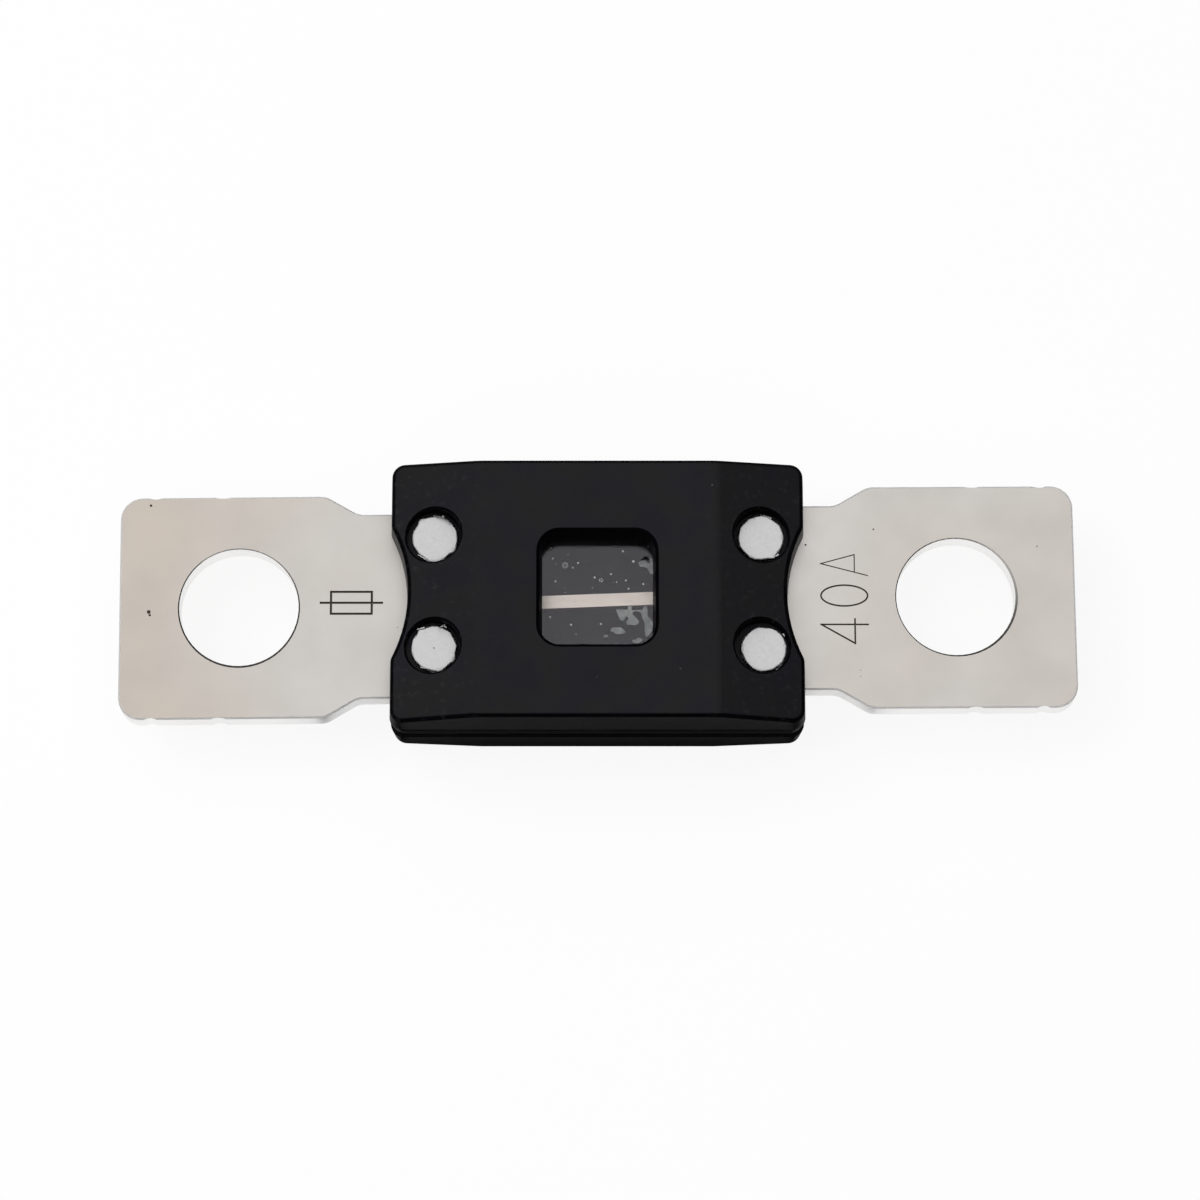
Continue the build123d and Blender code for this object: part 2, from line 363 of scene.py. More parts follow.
# %% Finish of the pane: clear acrylic
def clear_sheet():
    material, add, shader, place = new_material("clear_acrylic_sheet")
    up = add("SeparateXYZ", (add("NewGeometry", take="True Normal"),), "Z")
    veil = add("MapRange", (up, -0.5, 0.5, 0, 0.88))
    haze = add("MapRange", (add("TexNoise", grain(place, 1.5, 3)), 0.35, 0.65, 0, 0.02))
    wave = add("TexNoise", grain(place, 2.5, 1))
    bump = add("Bump", {"Height": wave, "Strength": 0.1, "Distance": 0.01 * mm})
    fill(shader, {
        "Base Color": "#F4F5F5", "Transmission Weight": 1, "IOR": 1.49, "Roughness": haze,
        "Specular IOR Level": veil, "Specular Tint": "#F5F1F8", "Normal": bump})
    return material


clear = clear_sheet()
print("made", clear.name)

# %% [markdown]
# Hammered aluminium. The rivets are plain soft aluminium, and the hammer leaves a matte,
# finely crushed surface on their ends. It is a metal with high roughness, mottled at about
# a quarter of a millimetre, with a few tiny grey dents. The crushing is far below a pixel,
# so bump does for it.

# %% Finish of the rivets: hammered aluminium
def hammered_aluminium():
    material, add, shader, place = new_material("hammered_soft_aluminium")
    mottle = add("MapRange", (add("TexNoise", grain(place, 0.28, 4)), 0.3, 0.7))
    tone = add("Mix", {0: mottle, 6: "#D1D1D2", 7: "#DFDFDF"}, **colour)
    dents = add("MapRange", (add("TexNoise", grain(place, 0.12, 3)), 0.68, 0.76))
    tone = add("Mix", {0: dents, 6: tone, 7: "#B4B4B6"}, **colour)
    rough = add("MapRange", (mottle, 0, 1, 0.42, 0.52))
    crushed = add("TexNoise", grain(place, 0.18, 4))
    bump = add("Bump", {"Height": crushed, "Strength": 0.6, "Distance": 0.02 * mm})
    fill(shader, {"Base Color": tone, "Metallic": 1, "Roughness": rough, "Normal": bump})
    return material


aluminium = hammered_aluminium()
print("made", aluminium.name)

# %% [markdown]
# Small things lie on those surfaces. The glue that holds the pane has crept in under it and dried to
# whitish skins and round bubbles, and the tin has a few dark pits; these are real things. The
# grooves of its struck marks get a painted shade. Each is too small to show more than two mixed
# tones, so one function makes them all.

# %% Finishes of the dried glue, the pits, the painted shade in the marks and the soot
def flecked_finish(name, fleck_mm, dark, light, sockets, detail=2, contrast=None):
    """Two tones in flecks of a real size, and whatever else its shader needs."""
    material, add, shader, place = new_material(name)
    flecks = add("TexNoise", grain(place, fleck_mm, detail))
    if contrast:
        flecks = add("MapRange", (flecks, *contrast))
    tone = add("Mix", {0: flecks, 6: dark, 7: light}, **colour)
    fill(shader, {"Base Color": tone, **sockets})
    return material


crust = {"detail": 3, "contrast": (0.35, 0.65)}
glue = flecked_finish("dried_clear_glue", 0.35, "#8C9293", "#BEC0BE", {
    "Roughness": 0.35, "Transmission Weight": 0.4}, **crust)
bubble_glue = flecked_finish("foamed_glue", 0.35, "#DADDDF", "#F6F6F6", {
    "Roughness": 0.35, "Transmission Weight": 0}, **crust)
pit_finish = flecked_finish("burnt_plating_pit", 0.1, "#221A16", "#4A3C34", {"Roughness": 0.8})
soot_finish = flecked_finish("matte_black_soot", 0.1, "#050506", "#0C0C0E", {
    "Roughness": 0.9, "Specular IOR Level": 0.1})
# The dark flecks in the struck marks are the painted shade of the grooves.
mark_shade = flecked_finish("painted_shade_in_struck_marks", 0.3, "#2A2623", "#5C544D", {
    "Roughness": 0.6})
print("made", [m.name for m in (glue, bubble_glue, pit_finish, soot_finish, mark_shade)])

# %% [markdown]
# New pieces go from a bmesh to an object in one function: the object sits at the origin, its place
# is in its mesh, it gets its finish and the one rigid body, and faces that meet at a shallow angle
# are shaded smooth. A copy of a CAD node brings stored normals along that no longer fit once it is
# cut, so they are dropped.

# %% From a bmesh to a finished piece
smooth_below = math.radians(24)
weld_within = 0.0015 * mm
flat_within = math.radians(0.3)


def linked(name, data):
    """An object of its own for a mesh, camera or lamp."""
    thing = bpy.data.objects.new(name, data)
    bpy.context.scene.collection.objects.link(thing)
    return thing


def mesh_of(bm, name):
    """A bmesh as a mesh. The bmesh is used up."""
    mesh = bpy.data.meshes.new(name)
    bm.to_mesh(mesh)
    bm.free()
    return mesh


def finish_piece(bm, name, material, keep_normals=False):
    """Makes a bmesh a piece of the fuse."""
    mesh = mesh_of(bm, name)
    stored_normals = mesh.attributes.get("custom_normal")
    if stored_normals and not keep_normals:
        mesh.attributes.remove(stored_normals)
    if not keep_normals:
        mesh.shade_smooth()
        mesh.set_sharp_from_angle(angle=smooth_below)
    piece = linked(name, mesh)
    piece.data.materials.append(material)
    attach(piece, "root")
    return piece


def merged_copy(node):
    """A bmesh of a CAD node with its loose triangles merged and flat areas made whole."""
    bm = bmesh.new()
    bm.from_mesh(nodes[node].data)
    bmesh.ops.remove_doubles(bm, verts=bm.verts, dist=weld_within)
    bmesh.ops.dissolve_limit(bm, angle_limit=flat_within, verts=bm.verts, edges=bm.edges)
    return bm


sample = merged_copy("fuse_element")
print("merged element has", len(sample.faces), "faces")
sample.free()

# %% [markdown]
# Marks are struck into the tin with thin V-shaped punches: the current rating on one
# terminal, and on the other the plain sign for a fuse, a long box with a line through it.
# Each straight stroke is a narrow wedge: a four-sided cone turned square and pulled apart to the
# stroke's length. The nought is the same wedge spun into a ring, and the ring is laid along an oval.
# Bump could draw the marks, but a boolean cuts grooves that are real.

# %% Punches: straight strokes and the oval
plate_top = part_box("fuse_element")[1].z
root_share = 0.15    # of a wedge's width is left at its foot


def straight_stroke(bm, start, end, width, depth):
    """A wedge from one point of the plate's top to another, all in millimetres."""
    start, end = Vector((*start, 0)) * mm, Vector((*end, 0)) * mm
    along = end - start
    across = width * mm * math.sqrt(2)
    wedge = bmesh.ops.create_cone(
        bm, cap_ends=True, segments=4, radius1=root_share * across,
        radius2=(1 - root_share) * across, depth=2 * depth * mm)["verts"]
    bmesh.ops.rotate(bm, verts=wedge, matrix=Matrix.Rotation(math.radians(45), 3, "Z"))
    for v in wedge:
        v.co.x += math.copysign(along.length / 2, v.co.x)
    turn = Matrix.Rotation(math.atan2(along.y, along.x), 4, "Z")
    move = Matrix.Translation((start + end) / 2 + Vector((0, 0, plate_top)))
    bmesh.ops.transform(bm, verts=wedge, matrix=move @ turn)


def oval_stroke(bm, middle, half_x, half_y, width, depth):
    """The same wedge laid along an oval."""
    before = set(bm.verts)
    low, high = root_share * width, (1 - root_share) * width
    ring = [bm.verts.new(Vector((1 + r, 0, z)) * mm) for r, z in (
        (-low, -depth), (low, -depth), (high, depth), (-high, depth))]
    edges = [bm.edges.new((ring[i - 1], ring[i])) for i in range(4)]
    bmesh.ops.spin(bm, geom=ring + edges, cent=(0, 0, 0), axis=(0, 0, 1),
                   angle=2 * math.pi, steps=40, use_merge=True)
    for v in set(bm.verts) - before:
        turn = math.atan2(v.co.y, v.co.x)
        outward = Vector((math.cos(turn) / half_x, math.sin(turn) / half_y, 0)).normalized()
        off_line = math.hypot(v.co.x, v.co.y) - mm
        path = Vector((half_x * math.cos(turn), half_y * math.sin(turn), 0)) * mm
        centre = Vector((middle[0] * mm, middle[1] * mm, plate_top + v.co.z))
        v.co = centre + path + outward * off_line


def cut(bm, cutter, name):
    """The bmesh with the cutter taken away from it."""
    pair = []
    for part, label in ((bm, name), (cutter, name + "_cutter")):
        bmesh.ops.recalc_face_normals(part, faces=part.faces)
        pair.append(linked(label, mesh_of(part, label)))
    body, tool = pair
    boolean = body.modifiers.new("cut", "BOOLEAN")
    boolean.operation = "DIFFERENCE"
    boolean.solver = "EXACT"
    boolean.use_self = True
    boolean.object = tool
    seen = body.evaluated_get(bpy.context.evaluated_depsgraph_get())
    result = bmesh.new()
    result.from_mesh(seen.to_mesh())
    for part in pair:
        bpy.data.objects.remove(part)
    return result


print("plate's top at", round(plate_top / mm, 3), "mm")

# %% [markdown]
# The rating reads up the right terminal, so its letters are turned a quarter. The strokes
# are written in letter space, x along the text and y up from its foot, and one function
# puts them on the terminal. The A was struck more lightly than the figures, so it has a
# smaller punch. The fuse sign on the left terminal lies along the fuse.

# %% Strokes of the marks, in millimetres
letter_h = 3.32
letter_bar = 0.92
text_foot_x = 19.22
sign_middle, sign_length, sign_width = (-17.5, -0.1), 2.9, 1.6
letter_punch = (0.12, 0.12)    # width and depth of a stroke
light_punch = (0.08, 0.1)
sign_punch = (0.16, 0.16)
mark_frames = ((15.5, 19.5, 3.7), (-19.8, -15.2, 1.2))    # from x, to x, reach in y
below_top = 0.005


def on_right(along, above):
    """A point of the text, in millimetres along it and above its foot."""
    return text_foot_x - above, along


def rating_strokes(bm):
    """40A in single strokes. The last leg of the A stops at its bar."""
    four = [((-1.68, 0), (-1.68, letter_h)), ((-1.68, letter_h), (-3.06, letter_bar)),
            ((-3.06, letter_bar), (-1.28, letter_bar))]
    letter_a = [((1.9, 0), (2.77, letter_h)), ((2.77, letter_h), (3.43, letter_bar)),
                ((2.2, letter_bar), (3.43, letter_bar))]
    for strokes, punch in ((four, letter_punch), (letter_a, light_punch)):
        for start, end in strokes:
            straight_stroke(bm, on_right(*start), on_right(*end), *punch)
    oval_stroke(bm, on_right(0.43, letter_h / 2), letter_h / 2, 0.76, *letter_punch)


def fuse_sign_strokes(bm, x, y, length, width):
    """A long box with a line through it."""
    x0, x1, y0, y1 = x - length / 2, x + length / 2, y - width / 2, y + width / 2
    lead = length / 4
    strokes = [((x0, y0), (x0, y1)), ((x1, y0), (x1, y1)), ((x0, y0), (x1, y0)),
               ((x0, y1), (x1, y1)), ((x0 - lead, y), (x1 + lead, y))]
    for start, end in strokes:
        straight_stroke(bm, start, end, *sign_punch)


def in_mark(point):
    """Whether a face of the element with this middle is inside one of the struck marks."""
    x, y, z = point / mm
    framed = any(x0 < x < x1 and abs(y) < reach for x0, x1, reach in mark_frames)
    return framed and 0 < z < plate_top / mm - below_top


print("the letters are", letter_h, "mm high")

# %% [markdown]
# The terminals were cut by several punches in turn. Two cuts that meet in a blade's edge leave a
# shallow hollow, which a round post cuts here that only grazes the edge. Each terminal stands a
# little askew, and its hollows with it. The punch of the bolt hole pressed a rim that is wider on
# one side, so the rim's vertices are moved: the outer ring outwards, and the inner ring down, to
# keep the slope. Last, the faces of the strip and those inside the marks get finishes of their own,
# rolled tin and the painted shade of the grooves.

# %% Nicks, rims and the dressed element
terminals = (("left_bolt_hole", -1, 0.57, -80),    # hole, side, turn, rim's wide side
             ("right_bolt_hole", 1, 0.31, -25))    # both angles in degrees
nicks = ((26.8, 1.6, 0.1), (31.6, 0.9, 0.12))      # off the middle, radius, bite, in mm
blade_w = 16.2
rim_narrow, rim_wide, rim_reach = 0.07 * mm, 0.17 * mm, 0.3 * mm
rim_slope = math.tan(math.radians(33))
hair = 0.01 * mm
strip_half_l = 9.0 * mm
strip_below_top = 0.1 * mm


def nick(bm, x, blade_middle, edge, radius, bite):
    """A shallow hollow in one edge of a blade, all in millimetres."""
    post = bmesh.ops.create_cone(bm, cap_ends=True, segments=64, radius1=radius * mm,
                                 radius2=radius * mm, depth=6 * mm)["verts"]
    y = blade_middle + edge + math.copysign(radius - bite, edge)
    bmesh.ops.translate(bm, verts=post, vec=Vector((x, y, 0)) * mm)


def nick_terminal(bm, name, side, turn):
    """The hollows in both edges of one terminal."""
    hole = bolt_holes[name]["pos_m"]
    for x, radius, bite in nicks:
        aside = math.tan(math.radians(turn)) * (side * x - hole[0] / mm)
        for edge in (-blade_w / 2, blade_w / 2):
            nick(bm, side * x, hole[1] / mm + aside, edge, radius, bite)


def roll_rim(bm, name, wide_side):
    """Reshapes the pressed rim of a bolt hole, wider towards one side."""
    mount = bolt_holes[name]
    middle = Vector(mount["pos_m"])
    hole_r = mount["dims"]["r_mm"] * mm
    widest = math.radians(wide_side)
    for v in bm.verts:
        spoke = Vector((v.co.x - middle.x, v.co.y - middle.y, 0))
        if not hole_r - hair < spoke.length < hole_r + rim_reach:
            continue
        share = 0.5 + 0.5 * math.cos(math.atan2(spoke.y, spoke.x) - widest)
        rim = rim_narrow + (rim_wide - rim_narrow) * share ** 2
        if v.co.z > plate_top - hair:
            outer = spoke.normalized() * (hole_r + rim)
            v.co = middle + outer + Vector((0, 0, v.co.z - middle.z))
        elif v.co.z > 0:
            v.co.z = plate_top - rim * rim_slope


def dress_element():
    """The stamping with its marks, nicks and rims, and a finish for each part of it."""
    cutter = bmesh.new()
    rating_strokes(cutter)
    fuse_sign_strokes(cutter, *sign_middle, sign_length, sign_width)
    for name, side, turn, _ in terminals:
        nick_terminal(cutter, name, side, turn)
    bm = cut(merged_copy("fuse_element"), cutter, "marks")
    for name, _, _, wide_side in terminals:
        roll_rim(bm, name, wide_side)
    piece = finish_piece(bm, "stamped_element", tin)
    piece.data.materials.append(strip_metal)
    piece.data.materials.append(mark_shade)
    for face in piece.data.polygons:
        x, _, z = face.center
        if abs(x) < strip_half_l and z < plate_top - strip_below_top:
            face.material_index = 1
        # Faces inside the marks get the painted shade.
        elif in_mark(face.center):
            face.material_index = 2
    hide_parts("fuse_element")
    return piece


element = dress_element()
print(element.name, "has", len(element.data.polygons), "faces")

# %% [markdown]
# The rivets were set with a hammer. The end on the window side has spread to a flat disc
# with a dimple at its middle, a little off the shank. Its edge has flats and pointed tips
# where the metal flowed, torn flakes stick out under it, and thin slivers stand up beside
# it; the other end is the factory's round head. The tips, flakes and slivers are written
# down for each of the four.

# %% What the hammer did to each rivet
half_section = [
    (0.0, -3.75), (1.1, -3.75), (1.45, -3.68), (1.66, -3.52), (1.75, -3.3), (1.75, -3.1),
    (1.25, -3.1), (1.25, 3.1), (1.5, 3.1), (1.6, 3.14), (1.63, 3.2), (1.6, 3.26),
    (1.53, 3.36), (1.56, 3.5), (1.6, 3.6), (1.59, 3.66), (1.52, 3.695), (1.3, 3.7),
    (1.0, 3.7), (0.75, 3.7), (0.5, 3.7), (0.3, 3.69), (0.16, 3.68), (0.07, 3.67),
    (0.0, 3.665)]
# The shift is how far the end lies off the shank. Tips and flakes are direction, reach and
# half width, with both angles in degrees. Slivers are their two ends.
hammered = {
    "rivet_rear_left": {
        "shift": (0.06, 0.0),
        "tips": ((272, 0.26, 36), (326, 0.18, 14), (129, 0.13, 13)),
        "flakes": ((88, 0.16, 22), (20, 0.05, 30)),
        "slivers": ((0.0, 1.6, 0.66, 1.48), (0.5, 1.5, 0.64, 1.62),
                    (-1.14, -1.22, -0.1, -1.84), (-0.05, 1.62, 0.12, 1.55))},
    "rivet_rear_right": {
        "shift": (0.0, 0.0),
        "tips": ((302, 0.2, 17), (88, 0.08, 20)),
        "flakes": ((88, 0.2, 16), (122, 0.16, 24), (50, 0.16, 22), (318, 0.16, 9)),
        "slivers": ((1.02, -1.36, 1.24, -1.2), (0.2, 1.64, 0.75, 1.42))},
    "rivet_front_left": {
        "shift": (0.08, 0.0),
        "tips": ((284, 0.12, 20), (332, 0.13, 14), (130, 0.14, 12)),
        "flakes": ((276, 0.24, 26), (74, 0.2, 20), (110, 0.1, 20)),
        "slivers": ((0.36, 1.48, 0.82, 1.68), (0.7, 1.64, 0.92, 1.5),
                    (-0.9, -1.36, 0.1, -1.6), (-1.16, 1.36, -0.62, 1.5))},
    "rivet_front_right": {
        "shift": (0.14, -0.04),
        "tips": ((262, 0.05, 22), (40, 0.03, 18)),
        "flakes": ((316, 0.22, 16), (286, 0.08, 16)),
        "slivers": ((1.62, 0.86, 1.5, 1.06), (1.0, -1.54, 1.4, -1.36))}}
print("hammered ends described:", len(hammered))

# %% [markdown]
# A half section is spun round the rivet's axis and the hammered end is then pushed into
# shape, vertex by vertex: tips and flakes push its edge out, flats cut it back, and seeded
# noise gives the small unevenness.

# %% Rivets, in millimetres until they are placed
shank_r, end_r, end_top = 1.25, 1.62, 3.7
end_foot = 3.12    # only what lies above this was hammered
lip_r, lip_top = 1.4, 3.3    # the flakes are torn out of the lip under the edge
struck_r, struck_foot = 0.3, 3.5    # the struck face, all but its dimple
sliver_w, sliver_thick, sliver_z = 0.1, 0.06, 3.56


def reach_towards(turn, bulges):
    """How far bulges push the edge out in a direction: full at each middle, then less."""
    total = 0.0
    for middle, reach, half_width in bulges:
        apart = abs((math.degrees(turn) - middle + 180) % 360 - 180)
        total += reach * max(0.0, 1 - apart / half_width)
    return total


def sliver(bm, x0, y0, x1, y1):
    """A thin torn scrap of metal beside the hammered end, narrow where it starts."""
    scrap = bmesh.ops.create_cube(bm, size=1.0)["verts"]
    for v in scrap:
        if v.co.x < 0:
            v.co.y *= 0.4
    length = math.hypot(x1 - x0, y1 - y0)
    shape = Matrix.Diagonal((length * mm, sliver_w * mm, sliver_thick * mm, 1))
    turn = Matrix.Rotation(math.atan2(y1 - y0, x1 - x0), 4, "Z")
    move = Matrix.Translation(Vector(((x0 + x1) / 2, (y0 + y1) / 2, sliver_z)) * mm)
    bmesh.ops.transform(bm, verts=scrap, matrix=move @ turn @ shape)


def spun_rivet():
    """The plain rivet, before its end is shaped."""
    bm = bmesh.new()
    chain = [bm.verts.new((r * mm, 0, z * mm)) for r, z in half_section]
    edges = [bm.edges.new(pair) for pair in zip(chain, chain[1:])]
    bmesh.ops.spin(bm, geom=chain + edges, cent=(0, 0, 0), axis=(0, 0, 1),
                   angle=2 * math.pi, steps=120, use_merge=True)
    bmesh.ops.remove_doubles(bm, verts=bm.verts, dist=0.001 * mm)
    return bm


def spread_at(r, z, turn, seed, flats, blows):
    """By what share of its radius the hammered end is wider at a point."""
    offset = Vector((seed * 7.1, seed * 3.3, 0))
    spread = 0.03 * noise.noise(Vector((3 * math.cos(turn), 3 * math.sin(turn), 0)) + offset)
    spread += 0.02 * noise.noise(Vector((14 * math.cos(turn), 14 * math.sin(turn), 5)) + offset)
    if r > shank_r:
        spread -= 0.5 * sum(max(0.0, math.cos(turn - flat) - 0.95) for flat in flats)
        spread += reach_towards(turn, blows["tips"]) / end_r
    if r > lip_r and z < lip_top:
        jag = 0.8 + 0.6 * noise.noise(Vector((turn * 12, seed, 0)))
        spread += reach_towards(turn, blows["flakes"]) / end_r * jag
    return spread


def hammer_end(bm, seed, blows):
    """Pushes the end on the window side into shape."""
    draw = random.Random(seed)
    flats = [draw.uniform(0, 2 * math.pi) for _ in range(4)]
    tilt = Vector((draw.uniform(-1, 1), draw.uniform(-1, 1))) * 0.02
    offset = Vector((seed * 7.1, seed * 3.3, 0))
    shift_x, shift_y = blows["shift"]
    for v in bm.verts:
        x, y, z = v.co / mm
        r = math.hypot(x, y)
        if z < end_foot or r < 0.01:
            continue
        spread = spread_at(r, z, math.atan2(y, x), seed, flats, blows)
        wider = 1 + spread * min(1, r / end_r)
        lift = 0.0
        if z > struck_foot and r > struck_r:
            crush = noise.noise(Vector((x * 1.3, y * 1.3, 0)) + offset)
            lift = 0.03 * crush + tilt.x * x + tilt.y * y - 0.03
        level = min(z + lift, end_top)
        v.co = Vector((x * wider + shift_x, y * wider + shift_y, level)) * mm


def make_rivet(node, seed):
    """One set rivet in the place of its CAD node."""
    bm = spun_rivet()
    hammer_end(bm, seed, hammered[node])
    for ends in hammered[node]["slivers"]:
        sliver(bm, *ends)
    bmesh.ops.recalc_face_normals(bm, faces=bm.faces)
    low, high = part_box(node)
    axis = Vector(((low.x + high.x) / 2, (low.y + high.y) / 2, 0))
    bmesh.ops.translate(bm, verts=bm.verts, vec=axis)
    name = node.replace("rivet_", "set_rivet_")
    piece = finish_piece(bm, name, aluminium)
    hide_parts(node)
    return piece


rivets = [make_rivet(name, seed) for seed, name in enumerate(hammered)]
print("rivets:", [r.name for r in rivets])

# %% [markdown]
# Under the pane the glue has dried. Its skins are thin flakes, each an outline that is
# filled and given a thickness, and a speck of soot, made the same way, lies on the pane in
# a corner. A picture on the pane could not lie at the right depth seen from the side.

# %% Outlines of the glue's skins and the soot, in millimetres
skins = (
    ((1.31, -1.01), (1.42, -1.34), (1.56, -1.69), (1.68, -1.82), (1.86, -1.81), (1.95, -1.64),
     (2.0, -1.5), (2.13, -1.55), (2.18, -1.7), (2.02, -1.92), (2.09, -2.13), (2.33, -2.1),
     (2.65, -2.15), (2.88, -2.05), (2.94, -1.88), (2.81, -1.69), (2.57, -1.46), (2.45, -1.29),
     (2.56, -1.16), (2.74, -1.13), (2.92, -1.16), (3.04, -1.24), (3.14, -1.43), (3.17, -1.64),
     (3.29, -1.85), (3.33, -2.0), (3.33, -2.56), (3.36, -2.89), (3.49, -3.0), (3.68, -2.84),
     (3.84, -2.56), (3.91, -2.18), (3.89, -1.9), (3.75, -1.69), (3.59, -1.55), (3.54, -1.34),
     (3.54, -1.01), (3.47, -0.77), (3.29, -0.77), (3.15, -1.03), (2.42, -1.06), (2.42, -0.77),
     (2.15, -0.77), (2.14, -1.03), (1.73, -1.0)),
    ((1.05, -2.32), (1.66, -2.31), (1.78, -2.42), (1.94, -2.56), (1.98, -2.65), (1.87, -2.75),
     (1.55, -2.79), (1.27, -2.77), (1.16, -2.65), (0.91, -2.56), (0.93, -2.44)),
    ((0.45, -2.86), (0.73, -2.86), (0.75, -2.96), (0.59, -3.03), (0.43, -3.05)),
    ((2.46, -3.22), (2.72, -3.17), (2.83, -3.05), (3.04, -3.07), (3.2, -3.19), (3.04, -3.36),
     (2.85, -3.44), (2.74, -3.45), (2.46, -3.36)),
    ((2.88, 2.39), (3.0, 2.5), (3.28, 2.57), (3.48, 2.54), (3.57, 2.36), (3.71, 2.39),
     (3.74, 2.61), (3.71, 2.72), (3.85, 2.68), (3.92, 2.39), (3.92, 1.59), (3.78, 1.56),
     (3.65, 1.77), (3.53, 1.99), (3.28, 2.1), (3.04, 2.1), (2.93, 2.25)))
speck = ((3.04, 2.54), (3.16, 2.61), (3.31, 2.76), (3.46, 2.78), (3.59, 2.73), (3.65, 2.55),
         (3.52, 2.5), (3.37, 2.57), (3.23, 2.5), (3.06, 2.51))
print("skins of glue:", len(skins))

# %% [markdown]
# Round bubbles sit in the film of glue. A small one is a flattened ball; the largest is a
# ring, because its middle is thin, and it has the finish of the skins. The larger bubbles
# lie where the photographed fuse has them, the small ones are strewn by a seeded draw. The
# pits in the tin are flattened balls in another finish, sunk half into the metal.

# %% Dried glue, bubbles, soot and pits, in millimetres
pane_low, pane_high = (corner.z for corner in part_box("window_pane"))
film_gap = 0.002    # keeps what lies on the pane off its faces
film = pane_low / mm - film_gap
bubble_flat = 0.3
skin_low, skin_thick = 0.03, 0.02
large_bubbles = (
    (-2.97, 1.04, 0.075), (-3.17, 2.7, 0.065), (-1.75, 2.04, 0.06), (-1.38, 2.38, 0.07),
    (-0.2, 1.32, 0.07), (0.96, 1.57, 0.065), (1.8, 3.24, 0.07), (2.54, 2.49, 0.09),
    (2.0, 1.1, 0.06), (1.36, 0.98, 0.045), (3.24, 0.84, 0.06), (2.2, 0.5, 0.055),
    (-3.35, -1.56, 0.075), (-1.86, -2.12, 0.065), (0.24, -2.06, 0.065))
pits = ((-31.9, -0.77, 0.15), (-31.82, -1.0, 0.1), (-31.92, 7.04, 0.1), (19.7, 5.3, 0.07),
        (14.85, 4.15, 0.08), (18.65, -5.0, 0.05), (18.65, -5.45, 0.05), (31.35, 4.05, 0.06),
        (-14.2, -1.9, 0.05), (-28.9, 2.75, 0.04))


def flake(bm, outline, z, thick):
    """A thin flake with this outline, its underside at z."""
    rim = [bm.verts.new(Vector((x, y, z)) * mm) for x, y in outline]
    wall = bmesh.ops.extrude_face_region(bm, geom=[bm.faces.new(rim)])["geom"]
    raised = [v for v in wall if isinstance(v, bmesh.types.BMVert)]
    bmesh.ops.translate(bm, verts=raised, vec=(0, 0, thick * mm))


def bead(bm, x, y, z, radius, flat):
    """A small ball, flattened."""
    ball = bmesh.ops.create_icosphere(bm, subdivisions=2, radius=radius * mm)["verts"]
    bmesh.ops.scale(bm, verts=ball, vec=(1, 1, flat))
    bmesh.ops.translate(bm, verts=ball, vec=Vector((x, y, z)) * mm)


def ring_bubble(bm, x, y, radius, tube):
    """The thick rim of a large bubble, touching the film from below."""
    before = set(bm.verts)
    corners = [i * math.pi / 4 for i in range(8)]
    profile = [(radius + tube * math.cos(a), bubble_flat * tube * math.sin(a)) for a in corners]
    circle = [bm.verts.new(Vector((r, 0, height)) * mm) for r, height in profile]
    edges = [bm.edges.new((circle[i - 1], circle[i])) for i in range(8)]
    bmesh.ops.spin(bm, geom=circle + edges, cent=(0, 0, 0), axis=(0, 0, 1),
                   angle=2 * math.pi, steps=32, use_merge=True)
    place = Vector((x, y, film - bubble_flat * tube)) * mm
    bmesh.ops.translate(bm, verts=list(set(bm.verts) - before), vec=place)


def glue_skins():
    bm = bmesh.new()
    for outline in skins:
        flake(bm, outline, pane_low / mm - skin_low, skin_thick)
    ring_bubble(bm, -2.29, 2.21, radius=0.15, tube=0.08)
    bmesh.ops.recalc_face_normals(bm, faces=bm.faces)
    return finish_piece(bm, "glue_skins", glue)


def soot_speck():
    bm = bmesh.new()
    flake(bm, speck, pane_high / mm + film_gap, skin_thick)
    bmesh.ops.recalc_face_normals(bm, faces=bm.faces)
    return finish_piece(bm, "soot_speck", soot_finish)


def glue_bubbles():
    draw = random.Random(11)
    bm = bmesh.new()
    wreath = [(0.26 + 0.12 * math.cos(a), 1.12 + 0.11 * math.sin(a), 0.038)
              for a in (i * math.tau / 5 for i in range(5))]
    small = [(draw.uniform(-3.6, 3.6), draw.uniform(-3.3, 3.6), draw.uniform(0.015, 0.03))
             for _ in range(24)]
    for x, y, radius in [*large_bubbles, *small, *wreath]:
        bead(bm, x, y, film - bubble_flat * radius, radius, bubble_flat)
    bmesh.ops.recalc_face_normals(bm, faces=bm.faces)
    return finish_piece(bm, "glue_bubbles", bubble_glue)


def plating_pits():
    bm = bmesh.new()
    for x, y, radius in pits:
        bead(bm, x, y, plate_top / mm - 0.004, radius, flat=0.12)
    return finish_piece(bm, "plating_pits", pit_finish)


small_things = [glue_skins(), soot_speck(), glue_bubbles(), plating_pits()]
print("made", [thing.name for thing in small_things])

# %% [markdown]
# The long walls of the two shells stand steeper near the joint than a straight draft makes
# them: the mould was ground back there, by less than a fifth of a millimetre. Copies of the
# shells get that by moving their outermost vertices near the joint inwards, along a short
# table for each shell, of old and new distances from the middle. The pane keeps its CAD
# mesh and only gets its finish.

# %% Shells and pane
near_joint = 1.2 * mm
ground_back = {
    "upper_shell": ((8.45, 8.45), (9.3, 9.25), (9.42, 9.29), (9.5, 9.33)),
    "lower_shell": ((8.45, 8.45), (9.3, 9.29), (9.42, 9.36), (9.5, 9.42))}


